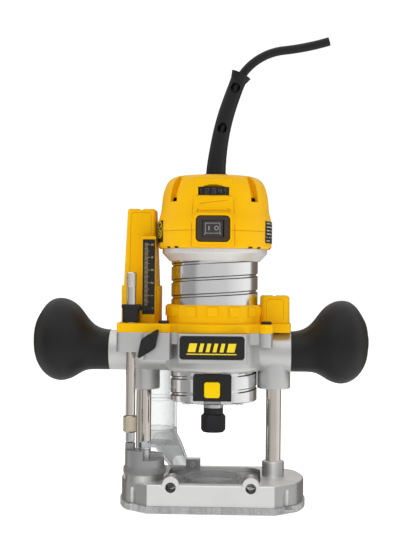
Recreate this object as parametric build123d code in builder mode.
from build123d import *
import os
from math import sin, cos, radians

# Compact plunge router, millimetres. Origin: spindle axis at the underside of the sub-base,
# +Z up, +X to the operator's right, -Y towards the operator (the front).

os.makedirs("parts", exist_ok=True)

CUT = Mode.SUBTRACT

# ---------------------------------------------------------------- driving dimensions
# Plan positions are (x, y); names ending in _xz are axes along Y, given as (x, z).
centre = (0, 0)                    # spindle axis
base_r = 73.5                      # round ends of the base
base_half_depth = 46.5             # flat front and back of the base
base_inset = 1.2                   # casting edge inside the sub-base edge
sub_base_t = 5.5
deck_z = 22.0                      # top of the base
bush_hole_r, bush_recess_r, bush_recess_t = 15.1, 17.5, 2.4
sub_screw_xy = [(60, -22), (60, 22), (-65, -8), (-48, 33)]

guide_x, guide_z, guide_r = 30.5, 19.9, 4.0      # edge-guide rod bores
guide_screw_xy = [(-guide_x, -37.5), (guide_x, -37.5)]

left_col, right_col = (-56.5, 7.0), (48.0, 0.0)
columns = (left_col, right_col)
col_r, col_bore_r = 6.0, 4.2
left_bore_z, right_bore_z = 40, 32               # floors of the spring bores
col_bush_r = 8.0

turret_x, turret_y = -52.5, -22.0
turret_xy = (turret_x, turret_y)
rod_x, rod_y, rod_r = -64.0, -23.0, 3.75         # depth rod
rod_xy = (rod_x, rod_y)
stop_xy = (rod_x, rod_y + 1.0)                   # stop screw on the turret
detent_xy = (turret_x + 11, turret_y)

tube_xy = (-50.0, 54.0)                          # upright dust tube
tube_socket_r = 15.2
tube_joint_z = 52.0
duct_screw_xz = (-17.6, 24.6)

barrel_r = 34.5                                  # motor barrel
ring_bore_r = barrel_r + 0.3                     # carriage ring
ring_r = 39.5
ring_z0, ring_z1 = 106.0, 137.0
cover_z1, collar_z1 = 144.0, 158.5               # tops of the cover plate and its collar
cover_screw_xy = [(-38.0, -29.5), (41.3, -27.0), (41.3, 27.0), (-34.0, 31.5)]
badge_y, badge_z = 41.7, 126.2                   # badge seat: distance to the front, height

arm_z, arm_r = 121.5, 16.0                       # handle arms
right_face_x, left_face_x = 61.2, -82.8
clamp_bolt_yz = (47, 122)
clamp_pin_x, clamp_pin_y = 15.8, 47.0            # motor clamp lever pivot
clamp_pin = (clamp_pin_x, clamp_pin_y)
lock_hub_xz = (-56.5, 115.0)                     # plunge-lock screw axis
wing_xz = (-48.7, 128.9)                         # depth-rod clamp screw axis

head_z0, seam_z = 202.5, 216.0                   # head underside, collar-to-cap seam
head_top_of_collar = seam_z - 0.15
switch_z = 216.9
dial_xy, dial_r = (0.0, -21.7), 20.0
cord_y = 8.0
cord_xy = (0, cord_y)
cord_z0 = 243

thread_pitch = 12.7
lock_z = 93.2                                    # spindle lock
collet_r = 4.0
nut_across_flats = 17.0
armature_bore_r = 5.03


# ---------------------------------------------------------------- helpers
def block(x0, x1, y0, y1, z0, z1, mode=Mode.ADD):
    """Box between two corners; either end of a range may come first."""
    with Locations(((x0 + x1) / 2, (y0 + y1) / 2, (z0 + z1) / 2)):
        Box(abs(x1 - x0), abs(y1 - y0), abs(z1 - z0), mode=mode)


def post(at, z0, z1, radius, mode=Mode.ADD):
    """Upright cylinder at (x, y)."""
    with Locations((*at, (z0 + z1) / 2)):
        Cylinder(radius, z1 - z0, mode=mode)


def bar_y(at, y0, y1, radius, mode=Mode.ADD):
    """Cylinder along Y at (x, z)."""
    x, z = at
    with Locations(Location((x, (y0 + y1) / 2, z), (90, 0, 0))):
        Cylinder(radius, y1 - y0, mode=mode)


def bar_x(at, x0, x1, radius, mode=Mode.ADD):
    """Cylinder along X at (y, z); either end may come first."""
    y, z = at
    with Locations(Location(((x0 + x1) / 2, y, z), (0, 90, 0))):
        Cylinder(radius, abs(x1 - x0), mode=mode)


def slab(plane, at, width, height, corner_r, amount, mode=Mode.ADD):
    """Extrude a rounded rectangle centred at a point of a plane."""
    with BuildSketch(plane) as profile:
        with Locations(at):
            RectangleRounded(width, height, corner_r)
    extrude(profile.sketch, amount=amount, mode=mode)


def turned(points, mode=Mode.ADD):
    """Revolve a closed (radius, z) polygon about the spindle axis."""
    with BuildSketch(Plane.XZ) as profile:
        with BuildLine():
            Polyline(*points, close=True)
        make_face()
    revolve(profile.sketch, axis=Axis.Z, mode=mode)


def rim(builder, axis, index):
    """Outer edges of the first (0) or last (-1) face along an axis."""
    return builder.faces().sort_by(axis)[index].outer_wire().edges()


def shifted(at, across, along):
    return (at[0] + across, at[1] + along)


def polar(radius, angle, z=0):
    """Place on a circle about the spindle axis, turned to face outwards."""
    return Location((radius * cos(radians(angle)), radius * sin(radians(angle)), z), angle)


def save(builder, name):
    builder.part.label = name
    export_step(builder.part, f"parts/{name}.step")


def base_outline(inset):
    """Base plan: a circle cut flat front and back, with bevelled corners."""
    flat_x, far_x = 49, 85
    slope = (base_half_depth - 33.8) / (63.8 - flat_x)
    far_y = base_half_depth - slope * (far_x - flat_x)
    corners = [(flat_x, -base_half_depth), (far_x, -far_y), (far_x, far_y),
               (flat_x, base_half_depth), (-flat_x, base_half_depth), (-far_x, far_y),
               (-far_x, -far_y), (-flat_x, -base_half_depth)]
    with BuildSketch() as outline:
        Circle(base_r)
        with BuildLine():
            Polyline(*corners, close=True)
        make_face(mode=Mode.INTERSECT)
        if inset:
            offset(amount=-inset, kind=Kind.INTERSECTION)
    return outline.sketch


# ---------------------------------------------------------------- base
col_boss_z = 34.5
guide_boss_y = 29.5      # distance from the spindle to the back of the guide-rod bosses

with BuildPart() as base_casting:
    with BuildSketch(Plane.XY.offset(sub_base_t)):
        add(base_outline(base_inset))
    extrude(amount=deck_z - sub_base_t)
    fillet(rim(base_casting, Axis.Z, -1), 1.4)
    slab(Plane.XY.offset(sub_base_t), (1, 0), 74, 76, 14, deck_z, CUT)   # central window
    with BuildSketch(Plane.XZ.offset(guide_boss_y)):
        with Locations((-guide_x, 18.4), (guide_x, 18.4)):
            RectangleRounded(13.0, 19.6, 6.45)
    extrude(amount=base_half_depth - base_inset - guide_boss_y)
    for column in columns:
        post(column, deck_z - 1, col_boss_z, 8.8)
    boss_rims = base_casting.edges().filter_by_position(
        Axis.Z, col_boss_z - 0.1, col_boss_z + 0.1)
    fillet(boss_rims, 1.2)
    post(turret_xy, deck_z - 1, 27, 15)
    block(-23.5, -12, 35.6, 45, deck_z - 2, 28.6)        # lug for the duct screw
    for screw in guide_screw_xy:
        bar_y((screw[0], guide_z), -60, -20, guide_r, CUT)
        post(screw, guide_z, 40, 2.0, CUT)
    for column in columns:
        post(column, 10, 40, col_r + 0.02, CUT)
        post(column, 0, 20, 3.1, CUT)
        post(column, 0, 8.2, 5.4, CUT)
    for screw in sub_screw_xy:
        post(screw, 0, 15, 1.95, CUT)
    post(turret_xy, 12, 30, 2.45, CUT)
    post(detent_xy, 20, 30, 1.6, CUT)
    bar_y(duct_screw_xz, 30, 43, 1.5, CUT)
    # round-ended blind holes near the front corners
    for hole in ((-61.0, -36.3), (58.6, -38.3)):
        post(hole, 5.4, 15.4, 3.1, CUT)
        with Locations((*hole, 15.4)):
            Sphere(3.1, mode=CUT)
save(base_casting, "base_casting")

with BuildPart() as sub_base:
    with BuildSketch():
        add(base_outline(0))
    extrude(amount=sub_base_t - 0.02)
    chamfer(rim(sub_base, Axis.Z, 0), 0.5)
    post(centre, -1, 10, bush_hole_r, CUT)
    post(centre, -1, bush_recess_t, bush_recess_r, CUT)
    for screw in sub_screw_xy:
        post(screw, -1, 10, 2.3, CUT)
        with Locations((*screw, 1.2)):
            Cone(4.3, 2.3, 2.4, mode=CUT)
save(sub_base, "sub_base")

# sub-base, column, guide-rod and duct screws, each with a drive socket
with BuildPart() as base_screws:
    for screw in sub_screw_xy:
        post(screw, 0.4, 14, 1.9)
        with Locations((*screw, 1.3)):
            Cone(4.0, 2.0, 2.0)
        post(screw, 0, 1.4, 1.2, CUT)
    for column in columns:
        post(column, 5.7, 24, 3.0)
        post(column, 5.7, 8.1, 5.2)
        post(column, 5, 7.4, 2.2, CUT)
    for screw in guide_screw_xy:
        post(screw, 24.1, 27.6, 1.9)
        post(screw, 26.0, 29, 1.0, CUT)
    bar_y(duct_screw_xz, 31.6, 42, 1.4)
    bar_y(duct_screw_xz, 30.8, 32.9, 2.8)
    bar_y(duct_screw_xz, 30.0, 31.8, 1.1, CUT)
save(base_screws, "base_screws")

with BuildPart() as guide_columns:
    post(left_col, 10, 158, col_r)
    post(right_col, 10, 107.5, col_r)
    chamfer(guide_columns.edges().filter_by(GeomType.CIRCLE).group_by(Axis.Z)[-1], 0.6)
    post(left_col, left_bore_z, 170, col_bore_r, CUT)
    post(right_col, right_bore_z, 170, col_bore_r, CUT)
    for column in columns:
        post(column, 0, 26, 3.02, CUT)
save(guide_columns, "guide_columns")

# coil springs standing in the column bores, with a whole number of turns
for name, column, z0, z1 in (
    ("left_plunge_spring", left_col, left_bore_z + 0.6, 230.4),
    ("right_plunge_spring", right_col, right_bore_z + 0.6, 162.4),
):
    coil_pitch = (z1 - z0) / round((z1 - z0) / 7.5)
    with BuildPart() as plunge_spring:
        with BuildLine() as coil:
            Helix(pitch=coil_pitch, height=z1 - z0, radius=3.2, center=(*column, z0))
        with BuildSketch(Plane(origin=coil.line @ 0, z_dir=coil.line % 0)):
            Circle(0.5)
        sweep(path=coil.line, is_frenet=True)
    save(plunge_spring, name)

# ---------------------------------------------------------------- dust duct
# throat stations: centre, direction, outer and inner (width, height, corner radius)
throat_x_dir = (0.76, 0.65, 0)
throat = [
    ((-28.5, 24.0, 28.0), (-0.65, 0.76, 0.0), (17, 14, 5), (13.4, 10.4, 4)),
    ((-37.5, 37.5, 39.0), (-0.55, 0.64, 0.54), (22, 16, 7), (18.4, 12.4, 5.5)),
    ((*tube_xy, tube_joint_z), (0, 0, 1), (28, 28, 13.5), (24.4, 24.4, 11.7)),
]

# window plate with a lip round the cutter, a screw ear and a throat to the tube
with BuildPart() as dust_shroud:
    slab(Plane.XY.offset(16.5), (1, 8), 71, 56, 12, 2.0)
    post(centre, 18, 21.5, 23.5)
    block(-23.5, -12, 33.1, 35.5, 17, 28.6)
    for origin, direction, outer, _ in throat:
        with BuildSketch(Plane(origin=origin, x_dir=throat_x_dir, z_dir=direction)):
            RectangleRounded(*outer)
    loft()
    post(tube_xy, 37.5, tube_joint_z, 17.5)
    for origin, direction, _, inner in throat:
        with BuildSketch(Plane(origin=origin, x_dir=throat_x_dir, z_dir=direction)):
            RectangleRounded(*inner)
    loft(mode=CUT)
    post(tube_xy, 40.0, 53.0, tube_socket_r, CUT)
    post(centre, 10, 30, 21.0, CUT)
    bar_y(duct_screw_xz, 30, 40, 1.7, CUT)
    # clearance over the base deck and round its screw lug
    block(-60, 60, 35.6, 60, 10, deck_z + 0.3, CUT)
    block(-23.7, -11.8, 35.5, 47, 15, 28.8, CUT)
save(dust_shroud, "dust_shroud")

with BuildPart() as dust_tube:
    post(tube_xy, tube_joint_z + 0.05, 79.0, 17.5)
    fillet(dust_tube.edges().group_by(Axis.Z)[-1], 3)
    post(tube_xy, 74, 124, 13.0)
    post(tube_xy, 40, 76.0, tube_socket_r, CUT)
    post(tube_xy, 60, 130, 11.0, CUT)
save(dust_tube, "dust_tube")

# ---------------------------------------------------------------- turret stop
turret_r = 15.4
# raised sectors: height, then corners of the clipping outline from the turret centre
turret_steps = [
    (7.5, [(0, 0), (0, -30), (-40, -30), (-40, 23)]),
    (3.6, [(0, 0), (-40, 23), (-40, 40), (40, 40), (40, 20)]),
]

with BuildPart() as turret:
    post(turret_xy, 27.15, 32.5, 16.3)
    post(turret_xy, 32, 38.4, turret_r)
    for height, corners in turret_steps:
        with BuildSketch(Plane.XY.offset(38)):
            with Locations(turret_xy):
                Circle(turret_r)
            with BuildLine():
                Polyline(*[shifted(turret_xy, *corner) for corner in corners], close=True)
            make_face(mode=Mode.INTERSECT)
        extrude(amount=height)
    post(turret_xy, 20, 50, 4.1, CUT)
    with Locations((*turret_xy, 27.0)):
        Torus(11, 1.75, mode=CUT)        # detent groove
    post(stop_xy, 34, 60, 2.5, CUT)
save(turret, "turret")

with BuildPart() as turret_stop_screw:
    post(stop_xy, 34.2, 46, 2.45)
    post(stop_xy, 45.55, 50.6, 3.9)
    chamfer(turret_stop_screw.edges().group_by(Axis.Z)[-1], 0.5)
save(turret_stop_screw, "turret_stop_screw")

with BuildPart() as turret_sleeve:
    post(turret_xy, 27.1, 45.3, 4.0)
    post(turret_xy, 20, 60, 2.5, CUT)
save(turret_sleeve, "turret_sleeve")

with BuildPart() as turret_pivot_screw:
    post(turret_xy, 13, 48.2, 2.4)
    post(turret_xy, 45.6, 46.7, 4.6)
    with BuildSketch(Plane.XY.offset(46.6)):
        with Locations(turret_xy):
            RegularPolygon(3.9, 6, major_radius=False)
    extrude(amount=4.6)
    chamfer(turret_pivot_screw.edges().group_by(Axis.Z)[-1], 0.4)
save(turret_pivot_screw, "turret_pivot_screw")

# ball, and a separate pin below it
with BuildPart() as turret_detent:
    with Locations((*detent_xy, 26.8)):
        Sphere(1.5)
    post(detent_xy, 20.2, 25.2, 1.3)
save(turret_detent, "turret_detent")

# ---------------------------------------------------------------- carriage casting
with BuildPart() as carriage_casting:
    post(centre, ring_z0, ring_z1, ring_r)
    fillet(carriage_casting.edges().group_by(Axis.Z)[0], 4.2)
    bar_x((0, arm_z), 30, right_face_x, arm_r)
    bar_x((0, arm_z), left_face_x, -30, arm_r)
    post(right_col, 92, 125, 13.2)
    post(left_col, 90, 125, 12.75)
    boss_rims = carriage_casting.edges().filter_by_position(Axis.Z, 89.9, 92.1)
    fillet(boss_rims.filter_by(GeomType.CIRCLE), 1.3)
    # depth-rod boss, its bridge to the ring, and the front badge pad
    slab(Plane.XY.offset(121.8), (-62.9, -18), 23.0, 33, 4, 15.2)
    slab(Plane.XY.offset(116), (-42.5, -22.5), 21, 30, 2, 21)
    slab(Plane.XY.offset(114.4), (0, -30), 53, 25.4, 2, 22.4)
    for x, y in cover_screw_xy:
        post((x, y), 126, ring_z1, 5.2)
        block(x, x * 0.6, y, y * 0.6, 128, ring_z1)
    block(-9.5, 9.5, 33, 54, 110, 134)                   # motor clamp lugs
    bar_y(lock_hub_xz, 12, 28, 7.5)
    block(-100, 100, -60, 60, ring_z1, 150, CUT)         # flat top
    post(centre, 80, 150, ring_bore_r, CUT)
    block(-1.5, 1.5, 30, 60, 100, 140, CUT)              # motor clamp slit
    bar_x(clamp_bolt_yz, -12, 12, 3.1, CUT)
    for column in columns:
        post(column, 80, 150, 6.4, CUT)
    post(right_col, 80, 107.5, col_bush_r, CUT)
    post(left_col, 80, 105.5, col_bush_r, CUT)
    post(left_col, 122, 150, col_bush_r, CUT)
    post(rod_xy, 100, 150, rod_r + 0.05, CUT)
    post(rod_xy, 100, 128.5, 6.3, CUT)
    block(-62, -44, -23.6, -22.4, 110, 140, CUT)         # slit beside the depth rod
    bar_y(wing_xz, -50, -14, 2.5, CUT)
    bar_y(lock_hub_xz, 12, 40, 3.05, CUT)
    for screw in cover_screw_xy:
        post(screw, 130, 140, 1.9, CUT)
    slab(Plane.XZ.offset(badge_y), (0, badge_z), 49.6, 18.0, 2.6, 5, CUT)
    bar_x((0, arm_z), 40, 70, 4.0, CUT)
    bar_x((0, arm_z), -90, -70, 4.0, CUT)
save(carriage_casting, "carriage_casting")

with BuildPart() as badge_plate:
    slab(Plane.XZ.offset(badge_y), (0, badge_z), 49.3, 17.7, 2.5, 1.3)
    fillet(rim(badge_plate, Axis.Y, 0), 0.4)
save(badge_plate, "badge_plate")

with BuildPart() as column_bushes:
    post(right_col, 92.4, 107.2, col_bush_r)
    post(left_col, 90.4, 105.2, col_bush_r)
    post(left_col, 122.3, 136.9, col_bush_r)
    for column in columns:
        post(column, 80, 150, col_r + 0.05, CUT)
save(column_bushes, "column_bushes")

# ---------------------------------------------------------------- top cover
left_tower_x, right_tower_x = -58.4, 48.15

with BuildPart() as left_tower:
    with BuildSketch(Plane.XY.offset(cover_z1)):
        with Locations((left_tower_x, 4)):
            RectangleRounded(30.0, 31, 6)
    extrude(amount=90.2, taper=2.55)
    fillet(left_tower.edges().group_by(Axis.Z)[-1], 2.0)
    bar_y((left_tower_x, 235.6), -20, 30, 2.4, CUT)      # groove across the top
    slab(Plane.XY.offset(cover_z1), (left_tower_x, 4), 30.8, 24, 3, 29)

with BuildPart() as right_tower:
    with BuildSketch(Plane.XY.offset(cover_z1 - 1)):
        with Locations((right_tower_x, 0)):
            RectangleRounded(23.6, 25, 4.5)
    extrude(amount=23.2, taper=0.8)
    fillet(right_tower.edges().group_by(Axis.Z)[-1], 2.2)
    bar_y((right_tower_x, 167.4), -20, 20, 2.0, CUT)

# collar round the motor, screw plate, tall left tower with scale block, short right tower
with BuildPart() as top_cover:
    post(centre, ring_z1, cover_z1, 40.2)
    post(centre, ring_z1, collar_z1, 38.0)
    fillet(top_cover.edges().group_by(Axis.Z)[-1], 1.0)
    with PolarLocations(0, 14, start_angle=-90):         # ribs round the collar
        with Locations((38.0, 0, 153.4)):
            Box(1.6, 8.4, 7.6)
    with BuildSketch(Plane.XY.offset(ring_z1)):
        with Locations((-53.3, -7)):
            RectangleRounded(42.2, 54.5, 4)
        with Locations((46.9, 0)):
            RectangleRounded(28.0, 31, 3)
        with Locations(*cover_screw_xy):
            Circle(5.5)
        for x, y in cover_screw_xy:
            with Locations((x * 0.8, y * 0.8)):
                Rectangle(14, 11)
    extrude(amount=cover_z1 - ring_z1)
    add(left_tower.part)
    block(-57, -45.9, -17, -6, cover_z1, 212)            # scale block
    add(right_tower.part)
    post(centre, 130, 170, ring_bore_r, CUT)
    post(left_col, 130, 231, 7.0, CUT)
    post(left_col, 130, 137.5, 8.1, CUT)
    post(right_col, 130, 163, 7.0, CUT)
    post(rod_xy, 130, 150, rod_r + 0.25, CUT)
    for screw in cover_screw_xy:
        post(screw, 130, 150, 2.1, CUT)
save(top_cover, "top_cover")

with BuildPart() as cover_screws:
    for screw in cover_screw_xy:
        post(screw, 131, 145, 1.85)
        post(screw, cover_z1 + 0.02, 146.3, 4.2)
    fillet(cover_screws.edges().group_by(Axis.Z)[-1], 1.2)
    for screw in cover_screw_xy:
        post(screw, 144.8, 147, 1.5, CUT)
save(cover_screws, "cover_screws")

with BuildPart() as depth_scale:
    block(-56.0, -46.4, -17.5, -17.0, 150.6, 209.4)
save(depth_scale, "depth_scale")

# ---------------------------------------------------------------- handles
# elliptical stations of the right handle: x, centre z, half height, half depth
handle_stations = [
    (61.3, 121.6, 16.0, 16.0), (66.0, 121.8, 16.3, 16.0), (72.0, 122.8, 17.3, 16.4),
    (78.0, 125.0, 19.8, 18.0), (84.0, 127.9, 24.6, 21.4), (90.0, 129.1, 29.4, 25.0),
    (96.0, 129.4, 32.2, 27.2), (102.0, 129.5, 33.0, 28.0), (108.5, 129.6, 31.3, 26.8),
    (114.0, 129.1, 26.9, 23.2), (118.5, 128.6, 20.4, 17.8), (121.6, 128.8, 12.4, 10.8),
    (122.8, 129.2, 5.0, 4.4),
]
# name, side, extra distance from the spindle, arm face
for name, side, shift, face_x in (
    ("right_handle", 1, 0.0, right_face_x),
    ("left_handle", -1, 21.5, left_face_x),
):
    with BuildPart() as handle:
        for x, z, half_height, half_depth in handle_stations:
            origin = (side * (x + shift), 0, z)
            with BuildSketch(Plane(origin=origin, x_dir=(0, 1, 0), z_dir=(1, 0, 0))):
                Ellipse(half_depth, half_height)
        loft()
        bar_x((0, arm_z), face_x, face_x + side * 41, 4.05, CUT)
    save(handle, name)

with BuildPart() as handle_bolts:
    bar_x((0, arm_z), 56.5, 101.5, 3.95)
    bar_x((0, arm_z), -123, -72, 3.95)
save(handle_bolts, "handle_bolts")

# ---------------------------------------------------------------- motor clamp (back)
# bolt with a hexagon head at the left and a cross pin at the right
with BuildPart() as clamp_bolt:
    bar_x(clamp_bolt_yz, -15.5, clamp_pin_x, 2.95)
    with BuildSketch(Plane.YZ.offset(-9.6)):
        with Locations(clamp_bolt_yz):
            RegularPolygon(5.0, 6, major_radius=False)
    extrude(amount=-5)
    post(clamp_pin, 118.2, 125.8, 4.4)
    post(clamp_pin, 109.6, 134.4, 2.0)
save(clamp_bolt, "clamp_bolt")

# lever outline, from the pivot
lever_outline = [(0, -4.5), (16, -4.0), (31, -12), (39, -10), (35, -3), (18, 4), (0, 5.5)]
lever_slot_z = (117.9, 126.1)

with BuildPart() as motor_clamp_lever:
    post(clamp_pin, 110, 134, 5.9)
    with BuildSketch(Plane.XY.offset(110)):
        with BuildLine():
            Polyline(*[shifted(clamp_pin, *point) for point in lever_outline], close=True)
        make_face()
    extrude(amount=24)
    upright_edges = motor_clamp_lever.edges().filter_by(Axis.Z)
    fillet(upright_edges.filter_by_position(Axis.X, clamp_pin_x + 25, clamp_pin_x + 60), 2.2)
    post(clamp_pin, *lever_slot_z, 7.2, CUT)
    block(clamp_pin_x - 10, clamp_pin_x + 2, clamp_pin_y - 8, clamp_pin_y + 8,
          *lever_slot_z, CUT)
    post(clamp_pin, 100, 140, 2.06, CUT)
save(motor_clamp_lever, "motor_clamp_lever")

# ---------------------------------------------------------------- plunge lock (behind the left column)
lock_lever_reach = 29.5
lock_lever_droop = radians(14)

with BuildPart() as plunge_lock_screw:
    bar_y(lock_hub_xz, 13.3, 34.5, 3.0)
save(plunge_lock_screw, "plunge_lock_screw")

with BuildPart() as plunge_lock_lever:
    with BuildSketch(Plane.XZ.offset(-28.6)):
        with Locations(lock_hub_xz):
            Circle(8.0)
        with Locations(shifted(lock_hub_xz, -lock_lever_reach * cos(lock_lever_droop),
                               -lock_lever_reach * sin(lock_lever_droop))):
            Circle(4.2)
        make_hull()
    extrude(amount=-6.4)
    fillet(rim(plunge_lock_lever, Axis.Y, -1), 1.4)
    bar_y(lock_hub_xz, 20, 34.6, 3.02, CUT)
save(plunge_lock_lever, "plunge_lock_lever")

# ---------------------------------------------------------------- depth rod and its clamp
with BuildPart() as rod_lock_knob:
    with BuildSketch(Plane.XZ.offset(38.2)):
        with Locations(wing_xz):
            Circle(5.9)
        with Locations(shifted(wing_xz, 6.6, 9.6)):
            Circle(1.3)
        with Locations(shifted(wing_xz, -6.6, -9.6)):
            Circle(1.3)
        make_hull()
    extrude(amount=6.4)
    bar_y(wing_xz, -46.0, -40, 4.6)
    fillet(rim(rod_lock_knob, Axis.Y, 0), 0.8)
    bar_y(wing_xz, -42.0, -16, 2.4)
save(rod_lock_knob, "rod_lock_knob")

with BuildPart() as depth_rod:
    post(rod_xy, 71.7, 183.5, rod_r)
    chamfer(depth_rod.edges().filter_by(GeomType.CIRCLE), 0.6)
    post(rod_xy, 60, 86, 2.1, CUT)
save(depth_rod, "depth_rod")

with BuildPart() as fine_adjust_knob:
    post(rod_xy, 58.6, 71.5, 5.6)
    chamfer(fine_adjust_knob.edges().group_by(Axis.Z)[0], 1.2)
    chamfer(fine_adjust_knob.edges().group_by(Axis.Z)[-1], 0.6)
    post(rod_xy, 50, 62.2, 3.65, CUT)
    post(rod_xy, 50, 80, 2.06, CUT)
save(fine_adjust_knob, "fine_adjust_knob")

with BuildPart() as rod_tip:
    post(rod_xy, 51.1, 58.9, 3.55)
    chamfer(rod_tip.edges().group_by(Axis.Z)[0], 0.5)
    post(rod_xy, 58, 81, 2.0)
save(rod_tip, "rod_tip")

# block on the rod, with a finger reaching right to the scale
with BuildPart() as depth_pointer:
    slab(Plane.XY.offset(144.6), (rod_x - 0.2, rod_y), 12.6, 12.6, 3, 13.8)
    block(rod_x - 6.9, rod_x + 6.9, rod_y - 6.6, rod_y + 6.2, 155.2, 158.4)
    block(rod_x + 4, -48.6, -20.4, -17.8, 153.6, 157.0)
    post(rod_xy, 140, 170, rod_r + 0.05, CUT)
save(depth_pointer, "depth_pointer")

# ---------------------------------------------------------------- motor body
with BuildPart() as thread_cutter:
    with BuildLine() as groove_path:
        Helix(pitch=thread_pitch, height=9 * thread_pitch, radius=barrel_r,
              center=(0, 0, 182.5 - 8 * thread_pitch))
    groove_start = Plane(origin=groove_path.line @ 0, x_dir=(1, 0, 0),
                         z_dir=groove_path.line % 0)
    with BuildSketch(groove_start):
        Trapezoid(4.6, 2.4, 58, rotation=90)
    sweep(path=groove_path.line, is_frenet=True)

with BuildPart() as motor_barrel:
    turned([(31.2, 82), (33.3, 82), (barrel_r, 83.2), (barrel_r, 199), (31.2, 199),
            (31.2, 101), (19.5, 101), (19.5, 108), (16.02, 108), (16.02, 98.5),
            (10, 98.5), (10, 97), (31.2, 97)])
    add(thread_cutter.part, mode=CUT)
    # front flat, stepped pocket and opening for the spindle lock
    block(-17, 17, -40, -30.5, 82, 106.5, CUT)
    block(-14.8, 14.8, -40, -27.5, 84.3, 96.9, CUT)
    block(-14.8, 14.8, -40, -28.0, 84.3, 105.4, CUT)
    block(-6.7, 6.7, -40, -24.6, 86.4, 99.9, CUT)
save(motor_barrel, "motor_barrel")

with BuildPart() as motor_flange:
    turned([(34.65, 192.8), (36.0, 192.8), (41.8, 199.0), (41.8, 202.4), (34.65, 202.4)])
    flange_circles = motor_flange.edges().filter_by(GeomType.CIRCLE)
    fillet(flange_circles.filter_by_position(Axis.Z, 198.9, 199.1), 1.5)
save(motor_flange, "motor_flange")

lens_x = 21          # side windows of the bottom cover

with BuildPart() as bottom_cover:
    turned([(12.0, 80.6), (26, 80.9), (31.0, 82.4), (31.0, 84.2), (12.0, 84.2)])
    for side in (-1, 1):
        block(side * lens_x - 3, side * lens_x + 3, -20, -15, 79, 86, CUT)
save(bottom_cover, "bottom_cover")

with BuildPart() as led_lens:
    turned([(9.6, 78.9), (13.5, 79.4), (15.0, 80.55), (11.9, 80.55), (11.9, 83.5), (9.6, 83.5)])
    for side in (-1, 1):
        block(side * lens_x - 2.9, side * lens_x + 2.9, -19.9, -15.1, 80.3, 83.8)
save(led_lens, "led_lens")

# ---------------------------------------------------------------- spindle lock (front)
with BuildPart() as lock_bezel:
    with BuildSketch(Plane.XZ.offset(28.2)):
        with Locations((0, 94.85)):
            RectangleRounded(29.4, 20.9, 2.6)
        with Locations((0, lock_z)):
            RectangleRounded(12.6, 12.6, 2.2, mode=CUT)
    extrude(amount=3.0)
save(lock_bezel, "lock_bezel")

with BuildPart() as lock_button:
    slab(Plane.XZ.offset(28.0), (0, lock_z), 12.2, 12.2, 2.0, 5.8)
    fillet(rim(lock_button, Axis.Y, 0), 0.7)
    bar_y((0, lock_z), -29, -11.6, 1.5)
save(lock_button, "lock_button")

with BuildPart() as lock_spring:
    with BuildLine() as lock_coil:
        Helix(pitch=1.8, height=10.8, radius=2.4, center=(0, -27.7, lock_z),
              direction=(0, 1, 0))
    with BuildSketch(Plane(origin=lock_coil.line @ 0, z_dir=lock_coil.line % 0)):
        Circle(0.35)
    sweep(path=lock_coil.line, is_frenet=True)
save(lock_spring, "lock_spring")

# ---------------------------------------------------------------- head
head_r, head_inner_r = 45.2, 42.6
panel_r, panel_width = 46.2, 34          # raised front panel
shoulder_z = 222.0                       # top of the straight wall
# crown outline above the shoulder: radius, z
crown = [(head_r, shoulder_z), (43.7, 229.4), (42.6, 237.0), (41.9, 243.6), (40.0, 251.0),
         (36.6, 256.8), (31.0, 259.6)]
vent_angles = (-42, 222, 42, 138)
vent_width = 7.6
screw_angles = (45, 135, 225, 315)
head_screw_r = 38.4                      # screw circle
switch_rim = (0, switch_z), 30, 24, 5    # position, width, height, corner radius
switch_opening = (0, switch_z), 26.2, 20.2, 3.6

with BuildPart() as cap_blank:
    with BuildSketch(Plane.XZ):
        with BuildLine():
            Line((0, seam_z), (head_r, seam_z))
            Line((head_r, seam_z), crown[0])
            Spline(*crown, tangents=((0, 1), (-1, 0.18)))
            Line(crown[-1], (0, 260.4))
            Line((0, 260.4), (0, seam_z))
        make_face()
    revolve(axis=Axis.Z)

with BuildPart() as panel_blank:
    with BuildSketch(Plane.XZ):
        with BuildLine():
            Line((0, seam_z), (panel_r, seam_z))
            Line((panel_r, seam_z), (panel_r, shoulder_z))
            Spline((panel_r, shoulder_z), (44.7, 229.4), (43.6, 237.0), (42.7, 243.6),
                   tangents=((0, 1), (-0.2, 1)))
            Line((42.7, 243.6), (0, 243.6))
            Line((0, 243.6), (0, seam_z))
        make_face()
    revolve(axis=Axis.Z)
    slab(Plane.XZ.offset(30), (0, 220), panel_width, 44, 4, 30, Mode.INTERSECT)

with BuildPart() as vent_cutter:
    turned([(60, 238.6), (60, 264), (33.0, 264), (32.6, 256.4), (35.4, 250.4),
            (37.8, 243.4), (38.6, 238.6)])
    with BuildSketch(Plane.XY.offset(230)):
        for angle in vent_angles:
            with Locations(polar(40, angle)):
                Rectangle(30, vent_width)
    extrude(amount=40, mode=Mode.INTERSECT)

with BuildPart() as vent_backing:
    turned([(31.0, 241.8), (42.0, 241.8), (41.5, 244.0), (39.6, 251.0), (36.4, 256.3),
            (33.0, 258.6), (31.0, 258.6)])
    with BuildSketch(Plane.XY.offset(230)):
        for angle in vent_angles:
            with Locations(polar(36, angle)):
                Rectangle(30, 11.0)
    extrude(amount=40, mode=Mode.INTERSECT)

with BuildPart() as finger_scoop:
    with Locations((0, -49.0, 229.0)):
        Sphere(24.0)
    block(-30, 30, -80, -20, 200, 249.0, CUT)

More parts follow.
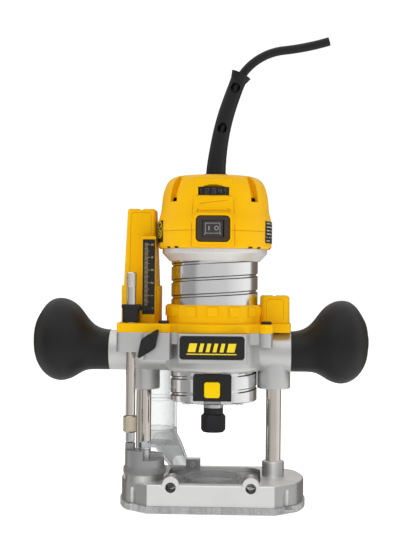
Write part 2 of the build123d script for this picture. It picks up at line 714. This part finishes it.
with BuildPart() as head_cap:
    add(cap_blank.part)
    add(panel_blank.part)
    slab(Plane.XZ.offset(40), *switch_rim, 7.2)
    block(-60, 60, -60, 60, 190, seam_z, CUT)
    # hollow inside
    turned([(0, 200), (head_inner_r, 200), (head_inner_r, shoulder_z), (40.0, 237.0),
            (38.6, 243.6), (36.4, 250.2), (33.6, 254.4), (30.4, 256.4), (0, 257.2)], CUT)
    block(-14, 14, -37.5, -31.5, 249.3, 256.0)
    add(vent_backing.part)
    add(vent_cutter.part, mode=CUT)
    for angle in vent_angles:
        with Locations(polar(36, angle, 240.4)):
            Box(14, vent_width, 3.6, mode=CUT)
    post(cord_xy, 250, 270, 6.6, CUT)
    # dial pocket and its front opening
    post(dial_xy, 242.6, 249.2, dial_r + 0.5, CUT)
    block(-11.8, 11.8, -50, -33, 242.7, 249.1, CUT)
    add(finger_scoop.part, mode=CUT)
    # cord seat with a screw boss on each side
    block(-9, 9, cord_y - 5.6, cord_y + 5.6, 249.2, 257.4)
    post(cord_xy, 245, 270, 6.6, CUT)
    for side in (-1, 1):
        post((side * 11, cord_y), 246.4, 257.6, 3.0)
        post((side * 11, cord_y), 240, 256, 1.2, CUT)
    for angle in screw_angles:
        with Locations(polar(head_screw_r, angle, 219.05)):
            Box(9, 8, 6)
            Cylinder(1.4, 12, mode=CUT)
    slab(Plane.XZ.offset(30), *switch_opening, 25, CUT)
save(head_cap, "head_cap")

with BuildPart() as head_collar:
    turned([(34.7, head_z0), (44.0, head_z0), (head_r, 204.2), (head_r, head_top_of_collar),
            (42.7, head_top_of_collar), (42.7, 204.8), (34.7, 204.8)])
    # lower part of the raised front panel
    with BuildSketch(Plane.XY.offset(head_z0 + 0.9)):
        Circle(panel_r)
        Circle(41, mode=CUT)
        with Locations((0, -45)):
            Rectangle(panel_width, 20, mode=Mode.INTERSECT)
    extrude(amount=head_top_of_collar - head_z0 - 0.9)
    slab(Plane.XZ.offset(40), *switch_rim, 7.2)
    block(-60, 60, -60, 60, head_top_of_collar, 240, CUT)
    slab(Plane.XZ.offset(30), *switch_opening, 25, CUT)
    # notches round the lower edge
    for angle in (-50, -38, -130, -142, 50, 38, 130, 142, 0, 180, 12, -12, 168, 192):
        with Locations(polar(45, angle, 202.4)):
            Box(4.4, 4.2, 3.0, mode=CUT)
    for angle in screw_angles:
        with Locations(polar(head_screw_r, angle, 206.0)):
            Cylinder(3.8, 3.4)
        with Locations(polar(head_screw_r, angle, 206.0)):
            Cylinder(1.7, 12, mode=CUT)
        with Locations(polar(head_screw_r, angle, 202.4)):
            Cylinder(2.95, 4.2, mode=CUT)
save(head_collar, "head_collar")

with BuildPart() as head_screws:
    for angle in screw_angles:
        screw = (head_screw_r * cos(radians(angle)), head_screw_r * sin(radians(angle)))
        post(screw, 204.4, 220.5, 1.35)
        post(screw, 202.6, 204.45, 2.85)
        post(screw, 202, 203.7, 1.2, CUT)
save(head_screws, "head_screws")

# thin skins on the left and right of the head
label_r0, label_r1, label_z0 = 45.3, 45.6, 207.2
with BuildPart() as side_labels:
    with BuildSketch(Plane.XZ):
        with BuildLine():
            Line((label_r0, label_z0), (label_r0, shoulder_z))
            Spline((label_r0, shoulder_z), (43.8, 229.4), tangents=((0, 1), (-0.2, 1)))
            Line((43.8, 229.4), (44.1, 229.4))
            Spline((44.1, 229.4), (label_r1, shoulder_z), tangents=((0.2, -1), (0, -1)))
            Line((label_r1, shoulder_z), (label_r1, label_z0))
            Line((label_r1, label_z0), (label_r0, label_z0))
        make_face()
    revolve(axis=Axis.Z)
    with BuildSketch(Plane.XY.offset(200)):
        for side in (1, -1):
            with BuildLine():
                Polyline((0, 0), (side * 60, -32), (side * 60, 32), close=True)
            make_face()
    extrude(amount=50, mode=Mode.INTERSECT)
    post(centre, 224.3, 250, 50, CUT)
save(side_labels, "side_labels")

# ---------------------------------------------------------------- rocker switch (front of the head)
rocker_xy = (0, -44.4)               # upright pivot
rocker_z0, rocker_z1 = switch_z - 6.15, switch_z + 6.15

with BuildPart() as switch_frame:
    slab(Plane.XZ.offset(38.4), (0, switch_z), 26.0, 20.0, 3.5, 8.2)
    fillet(rim(switch_frame, Axis.Y, 0), 1.0)
    slab(Plane.XZ.offset(41), (0, switch_z), 16.8, 12.8, 0.4, 20, CUT)
    post(rocker_xy, 209, 225, 0.95, CUT)
save(switch_frame, "switch_frame")

with BuildPart() as switch_rocker:
    with BuildSketch(Plane.XY.offset(rocker_z0)):
        with Locations(rocker_xy):
            Circle(8.15)
        with Locations(Location(rocker_xy, -8)):
            Polygon((-9, 2.2), (-9, -2.35), (0, -1.1), (9, -2.35), (9, 2.2), align=None,
                    mode=Mode.INTERSECT)
    extrude(amount=rocker_z1 - rocker_z0)
    post(rocker_xy, 209.6, 224.4, 0.85)
save(switch_rocker, "switch_rocker")

# switch body with four terminals at the back
with BuildPart() as switch_module:
    block(-11.5, 11.5, -38.2, -19, 208.2, 225.6)
    fillet(switch_module.edges().filter_by(Axis.Y), 1.2)
    for side in (-1, 1):
        for z in (212, 221):
            block(side * 6 - 2.2, side * 6 + 2.2, -19.2, -11, z - 0.4, z + 0.4)
save(switch_module, "switch_module")

# ---------------------------------------------------------------- speed control
with BuildPart() as speed_dial:
    with BuildSketch(Plane.XY.offset(243.0)):
        with Locations(dial_xy):
            Circle(dial_r)
        with Locations(dial_xy):
            with PolarLocations(dial_r + 0.35, 48):
                Circle(0.75, mode=CUT)
    extrude(amount=5.9)
    post(dial_xy, 240.6, 243.5, 3.0)
    post(dial_xy, 236.2, 241, 1.4)
save(speed_dial, "speed_dial")

board_z1 = 232.7     # foot of the upright components
with BuildPart() as control_board:
    with BuildSketch(Plane.XY.offset(231.2)):
        Circle(37.0)
        with Locations((0, -3)):
            Rectangle(60, 54, mode=Mode.INTERSECT)
    extrude(amount=1.6)
    with Locations((*dial_xy, 234.4)):
        Box(11, 11, 3.4)
    post(dial_xy, 230, 240, 1.5, CUT)
    post((18, 6), board_z1, 240.5, 6.0)
    post((-19, 10), board_z1, 239.5, 5.0)
    block(-27, -15, -14, -6, board_z1, 238)
    block(14, 26, -16, -9, board_z1, 241)
    for side in (-1, 1):             # legs
        block(side * 28.2 - 1.6, side * 28.2 + 1.6, -3, 3, 207.2, 231.3)
save(control_board, "control_board")

# ---------------------------------------------------------------- cord guard and cord
# the cord rises from the head and bends to the right; points are (x, z)
cord_plane = Plane(origin=(0, cord_y, 0), x_dir=(1, 0, 0), z_dir=(0, -1, 0))
with BuildLine(cord_plane) as cord_line:
    Line((0, cord_z0), (0, 264))
    arc = TangentArc((0, 264), (4.4, 298.0), tangent=(0, 1))
    for end in ((15.6, 334.0), (29.5, 353.4), (53.8, 363.4), (90.2, 370.8)):
        arc = TangentArc(arc @ 1, end, tangent=arc % 1)
cord_path = cord_line.wires()[0]

with BuildPart() as power_cord:
    with BuildSketch(Plane(origin=(0, cord_y, cord_z0), z_dir=(0, 0, 1))):
        Circle(3.5)
    sweep(path=cord_path)
save(power_cord, "power_cord")

# round stations of each loft: x, z, tilt towards +X in degrees, radius
guard_body = [
    (0.0, 262.2, 0, 8.0), (0.5, 272.0, 4.5, 7.6), (1.7, 282.0, 8.5, 7.2),
    (4.2, 297.0, 12, 6.8), (9.0, 315.6, 17, 6.5), (14.3, 331.0, 21.5, 6.3),
    (17.2, 338.6, 24.0, 6.4),
]
guard_flare = [(17.2, 338.6, 24, 6.4), (19.7, 343.8, 26, 8.3)]
cord_hole_r = 3.75

with BuildPart() as cord_guard:
    for stations in (guard_body, guard_flare):
        for x, z, tilt, radius in stations:
            direction = (sin(radians(tilt)), 0, cos(radians(tilt)))
            with BuildSketch(Plane(origin=(x, cord_y, z), x_dir=(0, 1, 0), z_dir=direction)):
                Circle(radius)
        loft()
    post(cord_xy, 253.2, 262.3, 6.4)
    post(cord_xy, 260.6, 263.2, 9.4)
    # cord hole, one span at a time, with a ball to clear each joint
    for span in cord_line.edges().sort_by(Axis.Z)[:4]:
        with BuildSketch(Plane(origin=span @ 0, z_dir=span % 0)):
            Circle(cord_hole_r)
        sweep(path=Wire([span]), mode=CUT)
        with Locations(span @ 1):
            Sphere(cord_hole_r, mode=CUT)
save(cord_guard, "cord_guard")

with BuildPart() as cord_clamp:
    slab(Plane.XY.offset(243.6), cord_xy, 29, 10, 3, 2.7)
    post(cord_xy, 240, 250, 4.8, CUT)
    for side in (-1, 1):
        post((side * 11, cord_y), 241.8, 254, 1.1)
        post((side * 11, cord_y), 241.6, 243.6, 2.5)
save(cord_clamp, "cord_clamp")

# ---------------------------------------------------------------- motor internals
core_z0, core_length = 128, 42       # stator and armature stacks
stator_r, stator_inner_r = 30.9, 24.2

# ring with a pole at the front and the back
with BuildPart() as stator_core:
    with BuildSketch(Plane.XY.offset(core_z0)):
        Circle(stator_r)
        Circle(stator_inner_r, mode=CUT)
        for side in (1, -1):
            with BuildLine():
                Polyline((0, 0), (60, side * 36), (60, side * 80), (-60, side * 80),
                         (-60, side * 36), close=True)
            make_face()
        Circle(stator_r, mode=Mode.INTERSECT)
        Circle(19.0, mode=CUT)
    extrude(amount=core_length)
    with BuildSketch(Plane.XY.offset(core_z0)):
        Circle(stator_r)
        Circle(stator_inner_r, mode=CUT)
    extrude(amount=core_length)
save(stator_core, "stator_core")

# end windings joined by the sides of the coils, split front from back
with BuildPart() as field_coils:
    for z0, z1 in ((123.4, 127.8), (170.2, 178.0)):
        with BuildSketch(Plane.XY.offset(z0)):
            Circle(28.5)
            Circle(20.0, mode=CUT)
            Rectangle(70, 4, mode=CUT)
        extrude(amount=z1 - z0)
    with BuildSketch(Plane.XY.offset(127)):
        for side in (1, -1):
            with BuildLine():
                Polyline((0, 0), (side * 60, 34), (side * 60, -34), close=True)
            make_face()
        Circle(23.8, mode=Mode.INTERSECT)
        Circle(20.0, mode=CUT)
        Rectangle(70, 4, mode=CUT)
    extrude(amount=44)
save(field_coils, "field_coils")

with BuildPart() as brush_gear:
    for side in (-1, 1):
        block(side * 21.2 - 8.4, side * 21.2 + 8.4, -5.2, 5.2, 182.2, 192.2)
        block(side * 17.0 - 5.38, side * 17.0 + 5.38, -3.2, 3.2, 184.0, 190.4)
save(brush_gear, "brush_gear")

with BuildPart() as bearing_bracket:
    turned([(11.02, 199.1), (34.4, 199.1), (34.4, 201.8), (14.2, 201.8), (14.2, 206.9),
            (6.0, 206.9), (6.0, 206.2), (11.02, 206.2)])
    with PolarLocations(23.5, 6, start_angle=30):
        Cylinder(5.2, 440, mode=CUT)
    for side in (-1, 1):
        block(side * 24.4 - 4.4, side * 24.4 + 4.4, -5.2, 5.2, 192.3, 199.2)
save(bearing_bracket, "bearing_bracket")

# lower and upper bearings, each with a groove in both faces
with BuildPart() as spindle_bearings:
    for inner_r, outer_r, z0, z1 in ((7.52, 16.0, 98.6, 107.6), (4.02, 11.0, 199.15, 206.1)):
        post(centre, z0, z1, outer_r)
        post(centre, z0 - 1, z1 + 1, inner_r, CUT)
        for face_z in (z0, z1):
            with BuildSketch(Plane.XY.offset(face_z - 0.5)):
                Circle(outer_r - 2.0)
                Circle(inner_r + 1.8, mode=CUT)
            extrude(amount=1.0, mode=CUT)
save(spindle_bearings, "spindle_bearings")

with BuildPart() as spindle:
    turned([(0, 60.8), (6.4, 60.8), (6.4, 76.2), (7.9, 76.2), (7.9, 89.8), (11.2, 89.8),
            (11.2, 96.6), (9.2, 96.6), (9.2, 98.2), (7.48, 98.5), (7.48, 107.7),
            (6.2, 107.7), (6.2, 110), (5.0, 110), (5.0, 196), (3.98, 196), (3.98, 206.1),
            (0, 206.1)])
    turned([(0, 60), (5.75, 60), (5.75, 62), (4.9, 77), (0, 78.5)], CUT)   # collet taper
    for angle in (0, 90, 180, 270):      # lock-pin holes
        turn = Location((0, 0, lock_z), (0, 0, angle))
        with Locations(turn * Location((0, -10.2, 0), (90, 0, 0))):
            Cylinder(1.75, 5.0, mode=CUT)
save(spindle, "spindle")

# slotted stack, end windings and commutator
with BuildPart() as armature:
    with BuildSketch(Plane.XY.offset(core_z0)):
        Circle(18.3)
        with PolarLocations(15.6, 12):
            Rectangle(6.4, 1.5, mode=CUT)
    extrude(amount=core_length)
    turned([(5, 124), (12.5, 124), (15.6, 126.5), (15.6, 128), (5, 128)])
    turned([(5, 170), (16, 170), (16, 174), (12, 179.5), (11.2, 179.5), (11.2, 180.4),
            (13.2, 180.4), (13.2, 181.9), (11.5, 181.9), (11.5, 194), (5, 194)])
    with BuildSketch(Plane.XY.offset(182)):
        with PolarLocations(11.6, 24):
            Rectangle(1.6, 0.5)
    extrude(amount=14, mode=CUT)
    post(centre, 120, 200, armature_bore_r, CUT)
save(armature, "armature")

fan_r, fan_z0, fan_blades = 28, 110.2, 9
with BuildPart() as fan:
    post(centre, fan_z0, 112.2, fan_r)
    turned([(5, fan_z0), (9, fan_z0), (8, 122), (5, 122)])
    for k in range(fan_blades):
        with Locations(Location((0, 0, 116), 360 / fan_blades * k)):
            with Locations(Location((18.0, 3.0, 0), 14)):
                Box(19.0, 1.6, 10.6)
    with BuildSketch(Plane.XY.offset(fan_z0)):
        Circle(fan_r)
    extrude(amount=12, mode=Mode.INTERSECT)
    post(centre, 100, 130, armature_bore_r, CUT)
save(fan, "fan")

# ---------------------------------------------------------------- collet
with BuildPart() as collet:
    turned([(collet_r, 58.9), (4.6, 58.9), (5.6, 61.2), (5.6, 62), (4.8, 76.5),
            (collet_r, 76.5)])
    for angle in (0, 60, 120):           # slits right across
        with Locations(Location((0, 0, 64.6), angle)):
            Box(20, 0.8, 12.6, mode=CUT)
save(collet, "collet")

with BuildPart() as collet_nut:
    with BuildSketch(Plane.XY.offset(56.8)):
        RegularPolygon(nut_across_flats / 2, 6, major_radius=False)
    extrude(amount=14.4)
    # bevel the hexagon corners at both ends
    turned([(0, 56.0), (8.2, 56.0), (8.2, 56.8), (9.9, 58.8), (9.9, 69.4), (8.2, 71.2),
            (8.2, 72), (0, 72)], Mode.INTERSECT)
    post(centre, 71.0, 75.9, 7.8)
    turned([(0, 56), (4.5, 56), (4.5, 57.2), (5.7, 60.5), (6.45, 60.5), (6.45, 77),
            (0, 77)], CUT)
save(collet_nut, "collet_nut")
